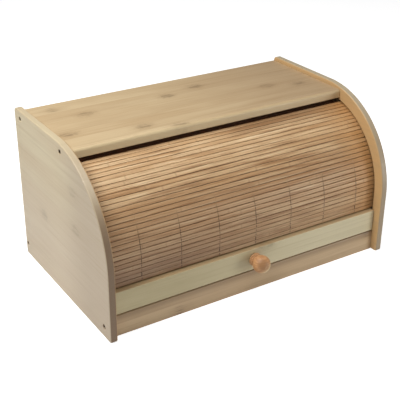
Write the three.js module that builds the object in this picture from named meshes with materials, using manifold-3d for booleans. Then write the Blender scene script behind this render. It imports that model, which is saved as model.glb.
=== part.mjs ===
// Bread box with a roll-top front: two side panels, a top, back, bottom and front rail screwed
// together, and a curtain of thin bamboo slats on a cloth backing. The curtain's ends run in a
// routed track in the side panels, and a handle bar with a turned knob closes its lower edge.
// Millimetres, +X along the slats, -Y towards the front, +Z up. The box stands on z = 0.
import * as THREE from "three";
import { mergeVertices } from "three/addons/utils/BufferGeometryUtils.js";
import Module from "manifold-3d";

const wasm = await Module();
wasm.setup();

// ---- Driving dimensions ----
const BOX_WIDTH = 400;
const BOX_DEPTH = 240;
const BOX_HEIGHT = 202.5;
const GAP = 0.3; // clearance between pieces that touch

const SIDE = { thickness: 9, arcRadius: 121.5, topCorner: 5, footCorner: 3, edgeRound: 1.6 };
const INNER_HALF = BOX_WIDTH / 2 - SIDE.thickness; // from the middle to a side panel's inner face
const HALF_DEPTH = BOX_DEPTH / 2;

const TOP = { front: -25.4, rear: 119.4, low: 185.6, high: 197, edgeRound: 1, frontHigh: 4 };
const BACK = { front: 109, rear: 119.4, low: 0.5, high: TOP.low - GAP, edgeRound: 1.2 };
const RAIL = { front: -110, rear: -98.5, low: 0, high: 27.4, edgeRound: 2.4, frontLow: 0.6 };
const BOTTOM = { low: 5, high: 10, tongue: 4 }; // a thin panel held in slots all round

// The curtain follows an arched track: half a circle about TRACK_HEIGHT, with a straight leg in front.
const TRACK_HEIGHT = 80;
const SLAT = { thickness: 4, width: 5.2, innerRadius: 99.5, edge: 0.9, inArc: 24, inLeg: 4, endPlay: 0.5 };
const SLAT_TURN = THREE.MathUtils.degToRad(3.18); // angle that one slat takes on the arc
// The cloth goes on past the last slat, so that it stays under the top panel when the front is shut.
const CLOTH = { outer: 99.2, inner: 98.4, halfWidth: 189, tailDrop: 24 };
const CLOTH_TURN = THREE.MathUtils.degToRad(87.5);
const HINGE_RADIUS = (CLOTH.outer + CLOTH.inner) / 2;
const LEG_PITCH = 2 * HINGE_RADIUS * Math.sin(SLAT_TURN / 2); // slat spacing on the straight leg
const LEG_LOW = TRACK_HEIGHT - SLAT.inLeg * LEG_PITCH; // lower end of the lowest slat's place
const TRACK = { outer: 106.2, inner: 98, depth: 5, frontLow: 54, rearLow: 72 };

const BAR = { front: -110, rear: -99.5, low: 28.2, high: LEG_LOW - 1, endPlay: 0.8, edgeRound: 1.2 };
const BAR_MIDDLE = (BAR.low + BAR.high) / 2;
const KNOB = { front: -135.4, ballRadius: 11.3, ringRadius: 7.7, neckRadius: 6.4, screwDepth: 14 };
const KNOB_SCREW = { headRadius: 4, headHeight: 2.4, shankRadius: 1.8 };

const SCREW = { sink: 1.3, headRadius: 2.8, headHeight: 2.6, shankRadius: 1.7, length: 34, socket: 1.5 };
const COUNTERBORE = { radius: 3.1, depth: 4.2 };
// Where a side panel is screwed to the top, back and rail: [piece, y, z].
const SCREW_PLACES = [
  ["top_front", -11.7, 191.7],
  ["top_rear", 103.3, 191.7],
  ["back", 114.2, 15.7],
  ["rail", -104.2, 13.9],
];

// The knob reaches in front of the box, so this shift puts the origin under the middle of it all.
const ORIGIN_SHIFT = -(KNOB.front + HALF_DEPTH) / 2;

// ---- Finishes ----
const finish = (color, roughness, metalness = 0) =>
  new THREE.MeshStandardMaterial({ color, roughness, metalness });
const FINISH = {
  sidePanel: () => finish(0xccb892, 0.55),
  topPanel: () => finish(0xd3b283, 0.5),
  backPanel: () => finish(0xcdae80, 0.6),
  bottomPanel: () => finish(0xc9a878, 0.65),
  rail: () => finish(0xb59668, 0.55),
  bar: () => finish(0xc2b284, 0.5),
  slat: () => finish(0xbd9564, 0.6),
  knob: () => finish(0xc48c52, 0.4),
  cloth: () => finish(0x6b563c, 0.95),
  steel: () => finish(0x5a4a38, 0.45, 0.8),
};

// ---- Solids ----
const model = new THREE.Group();
model.position.y = ORIGIN_SHIFT;

function addPiece(name, geometry, material, parent = model) {
  const mesh = new THREE.Mesh(geometry, material);
  mesh.name = name;
  parent.add(mesh);
  return mesh;
}

// A closed geometry as a solid that can be cut.
function solid(geometry) {
  const bare = new THREE.BufferGeometry().setAttribute("position", geometry.getAttribute("position"));
  if (geometry.index) bare.setIndex(geometry.index);
  const merged = mergeVertices(bare, 1e-4);
  return new wasm.Manifold(
    new wasm.Mesh({
      numProp: 3,
      vertProperties: new Float32Array(merged.getAttribute("position").array),
      triVerts: new Uint32Array(merged.index.array),
    }),
  );
}

// The geometry left when the tools are cut out of a base geometry.
function cut(base, tools) {
  const left = tools.reduce((rest, tool) => rest.subtract(solid(tool)), solid(base));
  const mesh = left.getMesh();
  const geometry = new THREE.BufferGeometry();
  geometry.setAttribute("position", new THREE.BufferAttribute(mesh.vertProperties, 3));
  geometry.setIndex(new THREE.BufferAttribute(mesh.triVerts, 1));
  return geometry;
}

// Turns an extrusion so that its outline lies in the YZ plane and its length runs along +X.
const OUTLINE_TO_YZ = new THREE.Matrix4().makeBasis(
  new THREE.Vector3(0, 1, 0),
  new THREE.Vector3(0, 0, 1),
  new THREE.Vector3(1, 0, 0),
);

// An outline in (y, z), extruded from x = fromX to x = toX, with rounded rims where bevel is given.
function alongX(shape, fromX, toX, { bevel = 0, curveSegments = 2 } = {}) {
  const geometry = new THREE.ExtrudeGeometry(shape, {
    depth: toX - fromX - 2 * bevel,
    bevelEnabled: bevel > 0,
    bevelThickness: bevel,
    bevelSize: bevel,
    bevelOffset: -bevel,
    bevelSegments: 2,
    curveSegments,
  });
  return geometry.translate(0, 0, fromX + bevel).applyMatrix4(OUTLINE_TO_YZ);
}

// A rectangle in (y, z) with a radius for each corner: [front low, rear low, rear high, front high].
function roundedRectangle(front, rear, low, high, radii) {
  const [frontLow, rearLow, rearHigh, frontHigh] = radii;
  const quarter = Math.PI / 2;
  const shape = new THREE.Shape();
  shape.moveTo(front + frontLow, low);
  shape.absarc(rear - rearLow, low + rearLow, rearLow, -quarter, 0);
  shape.absarc(rear - rearHigh, high - rearHigh, rearHigh, 0, quarter);
  shape.absarc(front + frontHigh, high - frontHigh, frontHigh, quarter, 2 * quarter);
  shape.absarc(front + frontLow, low + frontLow, frontLow, 2 * quarter, 3 * quarter);
  return shape;
}

// A board between the side panels; frontLow and frontHigh round its front corners differently where given.
function board({ front, rear, low, high, edgeRound, frontLow = edgeRound, frontHigh = edgeRound },
  halfLength = INNER_HALF - GAP) {
  const radii = [frontLow, edgeRound, edgeRound, frontHigh];
  return alongX(roundedRectangle(front, rear, low, high, radii), -halfLength, halfLength);
}

// A cylinder along X, from x = fromX to x = toX.
const rodAlongX = (radius, fromX, toX, y, z, sides = 12) =>
  new THREE.CylinderGeometry(radius, radius, toX - fromX, sides)
    .rotateZ(Math.PI / 2)
    .translate((fromX + toX) / 2, y, z);

// A cylinder along Y, from y = fromY to y = toY, in the middle of the bar.
const rodAlongY = (radius, fromY, toY, sides = 12) =>
  new THREE.CylinderGeometry(radius, radius, toY - fromY, sides).translate(0, (fromY + toY) / 2, BAR_MIDDLE);

// ---- Carcass ----
// The side panel's outline: straight back and foot, and a large arc from the top round to the front.
function sideOutline() {
  const { arcRadius, topCorner, footCorner } = SIDE;
  const quarter = Math.PI / 2;
  const shape = new THREE.Shape();
  shape.moveTo(-HALF_DEPTH + footCorner, 0);
  shape.absarc(HALF_DEPTH - footCorner, footCorner, footCorner, -quarter, 0);
  shape.absarc(HALF_DEPTH - topCorner, BOX_HEIGHT - topCorner, topCorner, 0, quarter);
  shape.absarc(arcRadius - HALF_DEPTH, BOX_HEIGHT - arcRadius, arcRadius, quarter, 2 * quarter);
  shape.absarc(-HALF_DEPTH + footCorner, footCorner, footCorner, 2 * quarter, 3 * quarter);
  return shape;
}

// The routed track: two concentric half circles joined by straight legs with round ends.
function trackOutline() {
  const { outer, inner, frontLow, rearLow } = TRACK;
  const middle = (outer + inner) / 2;
  const endRadius = (outer - inner) / 2;
  const shape = new THREE.Shape();
  shape.moveTo(-outer, frontLow + endRadius);
  shape.absarc(0, TRACK_HEIGHT, outer, Math.PI, 0, true);
  shape.absarc(middle, rearLow, endRadius, 0, Math.PI, true);
  shape.absarc(0, TRACK_HEIGHT, inner, 0, Math.PI, false);
  shape.absarc(-middle, frontLow + endRadius, endRadius, 0, Math.PI, true);
  return shape;
}

// Slot for the bottom panel's tongue, cut into a side panel's inner face.
function bottomSlotInSide(fromX, toX) {
  const front = RAIL.rear - BOTTOM.tongue - GAP;
  const rear = BACK.front + BOTTOM.tongue + GAP;
  return alongX(
    roundedRectangle(front, rear, BOTTOM.low - GAP, BOTTOM.high + GAP, Array(4).fill(0.5)), fromX, toX);
}

function sidePanel(side) {
  const outer = (side * BOX_WIDTH) / 2;
  const inner = side * INNER_HALF;
  const span = (fromX, toX) => [Math.min(fromX, toX), Math.max(fromX, toX)];
  const panel = alongX(sideOutline(), ...span(inner, outer), { bevel: SIDE.edgeRound, curveSegments: 9 });
  const trackSpan = span(inner - side, inner + side * TRACK.depth);
  const track = alongX(trackOutline(), ...trackSpan, { curveSegments: 18 });
  const slot = bottomSlotInSide(...span(inner - side, inner + side * (BOTTOM.tongue + GAP)));
  const holes = SCREW_PLACES.flatMap(([, y, z]) => [
    rodAlongX(COUNTERBORE.radius, ...span(outer + side, outer - side * COUNTERBORE.depth), y, z),
    rodAlongX(SCREW.shankRadius + GAP, ...span(outer, inner - side), y, z),
  ]);
  return cut(panel, [track, slot, ...holes]);
}

addPiece("side_panel_left", sidePanel(-1), FINISH.sidePanel());
addPiece("side_panel_right", sidePanel(1), FINISH.sidePanel());

// Blind holes for the side screws in both ends of a cross board.
function pilotHoles(prefix) {
  const reach = BOX_WIDTH / 2 - SCREW.sink - SCREW.length - GAP;
  return SCREW_PLACES.filter(([place]) => place.startsWith(prefix)).flatMap(([, y, z]) => [
    rodAlongX(SCREW.shankRadius + GAP, reach, INNER_HALF + 1, y, z),
    rodAlongX(SCREW.shankRadius + GAP, -INNER_HALF - 1, -reach, y, z),
  ]);
}

// A long slot for the bottom panel's tongue, as deep as the tongue and a little more.
const bottomSlot = (fromY, toY) =>
  new THREE.BoxGeometry(BOX_WIDTH, toY - fromY, BOTTOM.high - BOTTOM.low + 2 * GAP)
    .translate(0, (fromY + toY) / 2, (BOTTOM.low + BOTTOM.high) / 2);

addPiece("top_panel", cut(board(TOP), pilotHoles("top")), FINISH.topPanel());

const backSlot = bottomSlot(BACK.front - 1, BACK.front + BOTTOM.tongue + GAP);
addPiece("back_panel", cut(board(BACK), [backSlot, ...pilotHoles("back")]), FINISH.backPanel());

const railSlot = bottomSlot(RAIL.rear - BOTTOM.tongue - GAP, RAIL.rear + 1);
addPiece("front_rail", cut(board(RAIL), [railSlot, ...pilotHoles("rail")]), FINISH.rail());

const bottomEdges = { front: RAIL.rear - BOTTOM.tongue, rear: BACK.front + BOTTOM.tongue, edgeRound: 0.4 };
const bottomBoard = board({ ...BOTTOM, ...bottomEdges }, INNER_HALF + BOTTOM.tongue);
addPiece("bottom_panel", bottomBoard, FINISH.bottomPanel());

// ---- Side screws ----
// A round-headed screw with a hexagon socket: head up, shank down along -Y, origin on the head's top.
function screwGeometry({ headRadius, headHeight, shankRadius, length, socket }) {
  const profile = [
    [0, -length],
    [shankRadius, -length + 3],
    [shankRadius, -headHeight - 0.2],
    [headRadius, -headHeight],
    [headRadius, -0.5],
    [headRadius - 0.5, 0],
    [0, 0],
  ].map(([radius, y]) => new THREE.Vector2(radius, y));
  const hexagon = new THREE.CylinderGeometry(socket, socket, 3, 6);
  return cut(new THREE.LatheGeometry(profile, 12), [hexagon]);
}

for (const [sideName, side] of [["left", -1], ["right", 1]]) {
  for (const [place, y, z] of SCREW_PLACES) {
    const screw = addPiece(`screw_${sideName}_${place}`, screwGeometry(SCREW), FINISH.steel());
    screw.rotation.z = (-side * Math.PI) / 2;
    screw.position.set(side * (BOX_WIDTH / 2 - SCREW.sink), y, z);
  }
}

// ---- Roll curtain ----
// One slat at the front of the track, centred on z = 0: flat at the back, rounded at the front.
function slatGeometry() {
  const { innerRadius, thickness, width, edge, endPlay } = SLAT;
  const back = -innerRadius;
  const face = back - thickness;
  const half = width / 2;
  const shape = new THREE.Shape();
  shape.moveTo(face, -half + edge);
  shape.quadraticCurveTo(face, -half, face + edge, -half);
  shape.lineTo(back, -half);
  shape.lineTo(back, half);
  shape.lineTo(face + edge, half);
  shape.quadraticCurveTo(face, half, face, half - edge);
  const halfLength = INNER_HALF + TRACK.depth - endPlay;
  return alongX(shape, -halfLength, halfLength, { curveSegments: 2 });
}

const slatName = (number) => `slat_${String(number).padStart(2, "0")}`;

// Slats are numbered upwards from the handle bar: first the straight leg, then the arc.
for (let step = 0; step < SLAT.inLeg; step++) {
  const slat = addPiece(slatName(step + 1), slatGeometry(), FINISH.slat());
  slat.position.z = LEG_LOW + (step + 0.5) * LEG_PITCH;
  slat.position.y = SLAT.innerRadius - SLAT.innerRadius * Math.cos(SLAT_TURN / 2);
}
for (let step = 0; step < SLAT.inArc; step++) {
  const slat = addPiece(slatName(SLAT.inLeg + step + 1), slatGeometry(), FINISH.slat());
  slat.position.z = TRACK_HEIGHT;
  slat.rotation.x = -(step + 0.5) * SLAT_TURN;
}

// The cloth behind the slats on the arc.
function arcClothGeometry() {
  const start = Math.PI - GAP / 2 / HINGE_RADIUS;
  const end = Math.PI - CLOTH_TURN;
  const shape = new THREE.Shape();
  shape.absarc(0, TRACK_HEIGHT, CLOTH.outer, start, end, true);
  shape.absarc(0, TRACK_HEIGHT, CLOTH.inner, end, start, false);
  return alongX(shape, -CLOTH.halfWidth, CLOTH.halfWidth, { curveSegments: 14 });
}
addPiece("backing_cloth", arcClothGeometry(), FINISH.cloth());

// A flat strip of the same cloth, hanging straight.
function clothStrip(low, high) {
  return new THREE.BoxGeometry(2 * CLOTH.halfWidth, CLOTH.outer - CLOTH.inner, high - low)
    .translate(0, -HINGE_RADIUS, (low + high) / 2);
}
addPiece("backing_cloth_leg", clothStrip(LEG_LOW + GAP / 2, TRACK_HEIGHT - GAP / 2), FINISH.cloth());
const screwHole = rodAlongY(KNOB_SCREW.shankRadius + GAP, BAR.front - 5, -CLOTH.inner + 5);
const tailStrip = clothStrip(LEG_LOW - CLOTH.tailDrop, LEG_LOW - GAP / 2);
addPiece("backing_cloth_tail", cut(tailStrip, [screwHole]), FINISH.cloth());

// ---- Handle bar and knob ----
const barShape = roundedRectangle(
  BAR.front, BAR.rear, BAR.low, BAR.high, [BAR.edgeRound, 0.5, 0.5, BAR.edgeRound]);
const barHalf = INNER_HALF - BAR.endPlay;
addPiece("handle_bar", cut(alongX(barShape, -barHalf, barHalf), [screwHole]), FINISH.bar());

// The knob is turned: a flat ring against the bar, a groove, and a ball that swells to the front.
function knobGeometry() {
  const { front, ballRadius, ringRadius, neckRadius, screwDepth } = KNOB;
  const base = BAR.front - GAP;
  const ballCentre = front + ballRadius - 0.4;
  const rearAngle = Math.asin(neckRadius / ballRadius);
  const profile = [new THREE.Vector2(0, front)];
  const steps = 9;
  for (let step = 0; step <= steps; step++) {
    // Angle from the front pole; the front is a little flattened.
    const angle = THREE.MathUtils.lerp(0.2, Math.PI - rearAngle, step / steps);
    const y = Math.max(ballCentre - ballRadius * Math.cos(angle), front + 0.05 * step);
    profile.push(new THREE.Vector2(ballRadius * Math.sin(angle), y));
  }
  const ring = [
    [neckRadius, base - 4.2],
    [neckRadius - 0.3, base - 3.4],
    [ringRadius - 0.6, base - 3],
    [ringRadius, base - 2.2],
    [ringRadius, base - 0.8],
    [ringRadius - 0.6, base],
    [0, base],
  ].map(([radius, y]) => new THREE.Vector2(radius, y));
  const turned = new THREE.LatheGeometry([...profile, ...ring], 20).translate(0, 0, BAR_MIDDLE);
  const screwBore = rodAlongY(KNOB_SCREW.shankRadius + GAP, base - screwDepth, base + 1);
  return cut(turned, [screwBore]);
}
addPiece("knob", knobGeometry(), FINISH.knob());

// The knob's screw: its head bears on the cloth tail behind the bar.
const knobScrewLength = -CLOTH.inner + GAP - BAR.front + KNOB.screwDepth - 1;
const knobScrew = addPiece(
  "knob_screw",
  screwGeometry({ ...KNOB_SCREW, length: knobScrewLength + KNOB_SCREW.headHeight, socket: 1.5 }),
  FINISH.steel(),
);
knobScrew.position.set(0, -CLOTH.inner + GAP + KNOB_SCREW.headHeight, BAR_MIDDLE);

export default model;
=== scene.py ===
"""Bread box with a roll-top front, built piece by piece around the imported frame.

Lengths in the classes are millimetres in the box's own frame: +X along the slats, -Y towards the
front, +Z up. Meshes are put into Blender in metres, shifted back by the depth that the knob adds.
"""
import logging
import math
from dataclasses import dataclass, field
from enum import Enum

import bmesh
import bpy
import numpy as np
from mathutils import Matrix, Vector


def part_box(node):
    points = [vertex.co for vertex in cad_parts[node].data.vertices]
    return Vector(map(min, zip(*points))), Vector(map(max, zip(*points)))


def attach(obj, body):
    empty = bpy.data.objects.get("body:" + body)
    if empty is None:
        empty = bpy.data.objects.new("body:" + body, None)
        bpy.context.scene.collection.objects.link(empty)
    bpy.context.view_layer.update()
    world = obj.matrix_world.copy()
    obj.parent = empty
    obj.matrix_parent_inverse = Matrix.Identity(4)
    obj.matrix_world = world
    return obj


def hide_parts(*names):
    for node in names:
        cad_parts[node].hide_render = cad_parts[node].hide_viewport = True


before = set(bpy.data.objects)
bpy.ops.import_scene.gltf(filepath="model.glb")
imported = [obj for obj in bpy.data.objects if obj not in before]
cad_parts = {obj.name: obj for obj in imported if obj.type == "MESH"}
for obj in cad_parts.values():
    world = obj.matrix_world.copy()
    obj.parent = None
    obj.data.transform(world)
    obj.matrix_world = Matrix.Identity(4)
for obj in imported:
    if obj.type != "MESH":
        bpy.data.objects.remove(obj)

log = logging.getLogger("bread_box")

MM = 0.001
BOX_WIDTH = 400.0
HALF_DEPTH = 120.0
BOX_HEIGHT = 202.5
SIDE_THICKNESS = 9.0
INNER_HALF = BOX_WIDTH / 2 - SIDE_THICKNESS
TRACK_HEIGHT = 80.0

_SIDE_LOW, _SIDE_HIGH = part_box("side_panel_left")
# How far the box's own middle lies behind the frame's origin.
SHIFT = (_SIDE_LOW.y + _SIDE_HIGH.y) / 2 / MM
# Clearance between pieces that lie against each other.
GAP = 0.3

Points = np.ndarray
Colour = tuple[float, float, float]
Socket = bpy.types.NodeSocket
Value = Socket | float | tuple


# ---------------------------------------------------------------------------------------------
# Outlines and surfaces
# ---------------------------------------------------------------------------------------------
def arc(centre: tuple[float, float], radius: float | Points, start: float, end: float, count: int) -> Points:
    """Points on a circular arc in the (y, z) plane.

    Args:
        centre: The circle's middle.
        radius: Its radius, or an array with one radius for each row of a sweep.
        start: First angle in degrees, measured from +Y towards +Z.
        end: Last angle in degrees.
        count: How many points.

    Returns:
        An array (..., count, 2), with the radius array's shape in front.
    """
    angle = np.radians(np.linspace(start, end, count))
    spread = np.asarray(radius, float)[..., None]
    return np.stack([centre[0] + spread * np.cos(angle), centre[1] + spread * np.sin(angle)], -1)


def quarter_rounding(radius: float, steps: int) -> tuple[Points, Points]:
    """A quarter-round rim, from a flat face out to the side.

    Args:
        radius: The rounding's radius.
        steps: Points along the rim.

    Returns:
        (depth below the flat face, inset from the outline): radius times one minus the cosine, and
        radius times one minus the sine, of an angle that goes from 0 to 90 degrees.
    """
    angle = np.linspace(0.0, math.pi / 2, steps)
    return radius * (1 - np.cos(angle)), radius * (1 - np.sin(angle))


def shade_smooth(mesh: bpy.types.Mesh) -> None:
    """Shades every face of a mesh smoothly."""
    mesh.polygons.foreach_set("use_smooth", np.ones(len(mesh.polygons), bool))


def link(piece: bpy.types.Object) -> bpy.types.Object:
    """Puts an object into the scene."""
    bpy.context.scene.collection.objects.link(piece)
    return piece


def make_object(name: str, vertices: Points, faces: list, uv: Points | None = None,
                marks: dict[str, Points] | None = None) -> bpy.types.Object:
    """Puts a finished surface into the scene, in metres and with its faces pointing out.

    Args:
        name: The piece's name.
        vertices: (n, 3) places in millimetres in the box's own frame.
        faces: Lists of vertex numbers.
        uv: (n, 2) map coordinates, or None.
        marks: Named values from 0 to 1, one for each vertex.

    Returns:
        The object, at the origin.
    """
    triangles = np.array([(f[0], f[i], f[i + 1]) for f in faces for i in range(1, len(f) - 1)])
    corner = vertices[triangles]
    if np.einsum("ij,ij->i", corner[:, 0], np.cross(corner[:, 1], corner[:, 2])).sum() < 0:
        faces = [f[::-1] for f in faces]
    mesh = bpy.data.meshes.new(name)
    mesh.from_pydata(((vertices + (0.0, SHIFT, 0.0)) * MM).tolist(), [], faces)
    for mark, values in (marks or {}).items():
        mesh.attributes.new(mark, "FLOAT", "POINT").data.foreach_set("value", values.astype(np.float32))
    if uv is not None:
        corner_vertex = np.zeros(len(mesh.loops), np.int32)
        mesh.loops.foreach_get("vertex_index", corner_vertex)
        mesh.uv_layers.new(name="Weave").data.foreach_set("uv", uv[corner_vertex].astype(np.float32).ravel())
    shade_smooth(mesh)
    mesh.validate()
    return link(bpy.data.objects.new(name, mesh))


def grid_faces(rows: int, columns: int, capped: bool = True) -> list:
    """Faces of a grid of points whose last column joins the first.

    Args:
        rows: Points along the path.
        columns: Points round the profile.
        capped: Whether the first and the last row are closed by one flat face each.

    Returns:
        Lists of vertex numbers, row by row.
    """
    row = np.arange(rows - 1)[:, None] * columns
    column = np.arange(columns)[None]
    following = (column + 1) % columns
    quads = np.stack([row + column, row + following, row + columns + following, row + columns + column], -1)
    faces = quads.reshape(-1, 4).tolist()
    if capped:
        faces += [list(range(columns))[::-1], list(range((rows - 1) * columns, rows * columns))]
    return faces


def sweep(name: str, x: Points, profile: Points, **extras: Points | dict) -> bpy.types.Object:
    """A closed body whose (y, z) profile is carried along X.

    Args:
        name: The piece's name.
        x: (rows,) places along X.
        profile: (rows, columns, 2) the profile at each place.
        **extras: uv or marks, as make_object takes them.

    Returns:
        The object.
    """
    rows, columns = profile.shape[:2]
    along = np.broadcast_to(x[:, None, None], (rows, columns, 1))
    vertices = np.concatenate([along, profile], -1).reshape(-1, 3)
    return make_object(name, vertices, grid_faces(rows, columns), **extras)


def turned(name: str, profile: Points, origin: tuple, axis: tuple, sides: int = 48,
           hexagonal: Points | None = None) -> bpy.types.Object:
    """A lathe-turned body: each profile point goes round the axis.

    Args:
        name: The piece's name.
        profile: (n, 2) radius and distance along the axis, starting and ending on the axis.
        origin: Where distance 0 is.
        axis: The direction in which distance grows.
        sides: Points round the axis.
        hexagonal: (n,) 1 where the ring of points is a hexagon instead of a circle.

    Returns:
        The object, with its poles closed.
    """
    direction = Vector(axis).normalized()
    across = direction.orthogonal().normalized()
    frame_axes = np.array([across, direction.cross(across), direction])
    angle = np.linspace(0.0, 2 * math.pi, sides, endpoint=False)
    # Distance to a hexagon's side, as a share of the distance to its corner.
    sixth = math.pi / 3
    flats = math.cos(sixth / 2) / np.cos((angle % sixth) - sixth / 2)
    share = np.zeros(len(profile)) if hexagonal is None else hexagonal
    radius = profile[:, :1] * (1 - share[:, None] + share[:, None] * flats[None])
    local = np.stack([radius * np.cos(angle), radius * np.sin(angle),
                      np.broadcast_to(profile[:, 1:], radius.shape)], -1)
    vertices = (local @ frame_axes).reshape(-1, 3) + origin
    piece = make_object(name, vertices, grid_faces(len(profile), sides, capped=False))
    close_poles(piece)
    return piece


def close_poles(piece: bpy.types.Object) -> None:
    """Merges the points that lie on top of each other at a turned body's ends.

    Args:
        piece: The piece, whose mesh is changed in place.
    """
    work = bmesh.new()
    work.from_mesh(piece.data)
    bmesh.ops.remove_doubles(work, verts=work.verts, dist=1e-6)
    bmesh.ops.recalc_face_normals(work, faces=work.faces)
    work.to_mesh(piece.data)
    work.free()
    shade_smooth(piece.data)


def cut(piece: bpy.types.Object, cutters: list[bpy.types.Object]) -> None:
    """Cuts the cutters out of a piece and removes them.

    Args:
        piece: The piece, whose mesh is replaced.
        cutters: Closed bodies.
    """
    for cutter in cutters:
        modifier = piece.modifiers.new(cutter.name, "BOOLEAN")
        modifier.object = cutter
        modifier.operation = "DIFFERENCE"
        modifier.solver = "EXACT"
    apply_modifiers(piece)
    for cutter in cutters:
        bpy.data.objects.remove(cutter)


def apply_modifiers(piece: bpy.types.Object) -> None:
    """Replaces a piece's mesh by what its modifiers make of it.

    Args:
        piece: The piece, which then has no modifiers.
    """
    evaluated = piece.evaluated_get(bpy.context.evaluated_depsgraph_get())
    made = bpy.data.meshes.new_from_object(evaluated)
    piece.modifiers.clear()
    piece.data = made


def soften(piece: bpy.types.Object, sharp_degrees: float = 40.0) -> None:
    """Smooth shading that keeps flat faces flat and edges above an angle sharp.

    Args:
        piece: The piece, whose mesh is replaced.
        sharp_degrees: The angle between two faces from which their edge is sharp.
    """
    mesh = piece.data
    shade_smooth(mesh)
    mesh.set_sharp_from_angle(angle=math.radians(sharp_degrees))
    modifier = piece.modifiers.new("FlatFaces", "WEIGHTED_NORMAL")
    modifier.keep_sharp = True
    modifier.weight = 100
    apply_modifiers(piece)


# ---------------------------------------------------------------------------------------------
# Material graphs
# ---------------------------------------------------------------------------------------------
class Graph:
    """A material whose nodes are written as expressions."""

    def __init__(self, name: str) -> None:
        """Makes an empty material with a Principled shader on its output.

        Args:
            name: The material's name.
        """
        self.material = bpy.data.materials.new(name)
        self.material.use_nodes = True
        self.tree = self.material.node_tree
        self.tree.nodes.clear()
        output = self.tree.nodes.new("ShaderNodeOutputMaterial")
        self.shader = self.tree.nodes.new("ShaderNodeBsdfPrincipled")
        self.tree.links.new(self.shader.outputs[0], output.inputs["Surface"])

    def add(self, kind: str, inputs: dict, **settings: str) -> bpy.types.Node:
        """Adds a node.

        Args:
            kind: The node type's name after "ShaderNode".
            inputs: Values or sockets for its inputs, by name or number.
            **settings: The node's own settings.

        Returns:
            The node.
        """
        node = self.tree.nodes.new("ShaderNode" + kind)
        for setting, value in settings.items():
            setattr(node, setting, value)
        for key, value in inputs.items():
            self.feed(node.inputs[key], value)
        return node

    def feed(self, socket: Socket, value: Value) -> None:
        """Links a socket to an input, or sets the input's own value.

        Args:
            socket: The input.
            value: A socket to link, or a plain value.
        """
        if isinstance(value, bpy.types.NodeSocket):
            self.tree.links.new(value, socket)
        else:
            socket.default_value = value

    def set(self, **inputs: Value) -> None:
        """Sets or links inputs of the Principled shader; an underscore stands for a space."""
        for key, value in inputs.items():
            self.feed(self.shader.inputs[key.replace("_", " ")], value)

    def math(self, operation: str, first: Value, second: Value = 0.0, third: Value = 0.0) -> Socket:
        """One arithmetic step."""
        return self.add("Math", {0: first, 1: second, 2: third}, operation=operation).outputs[0]

    def times(self, first: Value, second: Value) -> Socket:
        """A product."""
        return self.math("MULTIPLY", first, second)

    def scaled(self, value: Value, factor: Value, offset: Value) -> Socket:
        """A value times a factor, plus an offset."""
        return self.math("MULTIPLY_ADD", value, factor, offset)

    def from_half(self, value: Socket) -> Socket:
        """How far the fractional part of a value lies from a half."""
        return self.math("ABSOLUTE", self.math("SUBTRACT", self.math("FRACT", value), 0.5))

    def stretched(self, place: tuple, waves: tuple, detail: float, roughness: float) -> Socket:
        """Noise with its own number of waves a metre along each axis of a place."""
        scaled = self.join(*(self.times(part, count) for part, count in zip(place, waves)))
        return self.noise(scaled, 1.0, detail, roughness)

    def normal(self) -> Socket:
        """The direction in which the surface faces, on the object's own axes."""
        return self.add("TexCoord", {}).outputs["Normal"]

    def place(self) -> Socket:
        """The point's own place on the object, in metres."""
        return self.add("TexCoord", {}).outputs["Object"]

    def mark(self, name: str) -> Socket:
        """A value stored on the mesh."""
        return self.add("Attribute", {}, attribute_name=name).outputs["Fac"]

    def parts(self, vector: Socket) -> tuple[Socket, Socket, Socket]:
        """A vector's X, Y and Z."""
        outputs = self.add("SeparateXYZ", {0: vector}).outputs
        return outputs[0], outputs[1], outputs[2]

    def join(self, x: Value, y: Value, z: Value) -> Socket:
        """A vector from three numbers."""
        return self.add("CombineXYZ", {0: x, 1: y, 2: z}).outputs[0]

    def noise(self, vector: Socket, scale: float, detail: float = 2.0, roughness: float = 0.5) -> Socket:
        """Smooth random values between about 0.25 and 0.75."""
        inputs = {"Vector": vector, "Scale": scale, "Detail": detail, "Roughness": roughness}
        return self.add("TexNoise", inputs).outputs["Fac"]

    def random(self, vector: Socket) -> Socket:
        """One random value from 0 to 1 for each whole vector."""
        return self.add("TexWhiteNoise", {"Vector": vector}, noise_dimensions="3D").outputs["Value"]

    def fade(self, value: Value, low: float, high: float, start: float = 0.0, end: float = 1.0) -> Socket:
        """A smooth step from start to end as a value goes from low to high."""
        inputs = {"Value": value, "From Min": low, "From Max": high, "To Min": start, "To Max": end}
        return self.add("MapRange", inputs, interpolation_type="SMOOTHSTEP").outputs[0]

    def blend(self, share: Value, first: Value, second: Value) -> Socket:
        """Mixes two colours.

        Args:
            share: How much of the second colour, from 0 to 1.
            first: The first colour.
            second: The second colour.

        Returns:
            The mixed colour.
        """
        node = self.add("Mix", {}, data_type="RGBA")
        self.feed(node.inputs[0], share)
        self.feed(node.inputs[6], first)
        self.feed(node.inputs[7], second)
        return node.outputs[2]

    def bump(self, height: Socket, strength: float, distance: float) -> Socket:
        """Fine relief, in metres."""
        return self.add("Bump", {"Height": height, "Strength": strength, "Distance": distance}).outputs[0]


def rgb(red: float, green: float, blue: float) -> tuple[float, float, float, float]:
    """A colour given as display values from 0 to 255, as the linear values that shaders take."""
    linear = [((v / 255 + 0.055) / 1.055) ** 2.4 if v > 10.3 else v / 255 / 12.92 for v in (red, green, blue)]
    return (*linear, 1.0)


class Grain(Enum):
    """Which way a board's fibres run, and which way its strips lie side by side: axis numbers."""

    ALONG_X_LYING = (0, 1, 2)
    ALONG_X_STANDING = (0, 2, 1)
    ALONG_Y_STANDING = (1, 2, 0)


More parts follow.
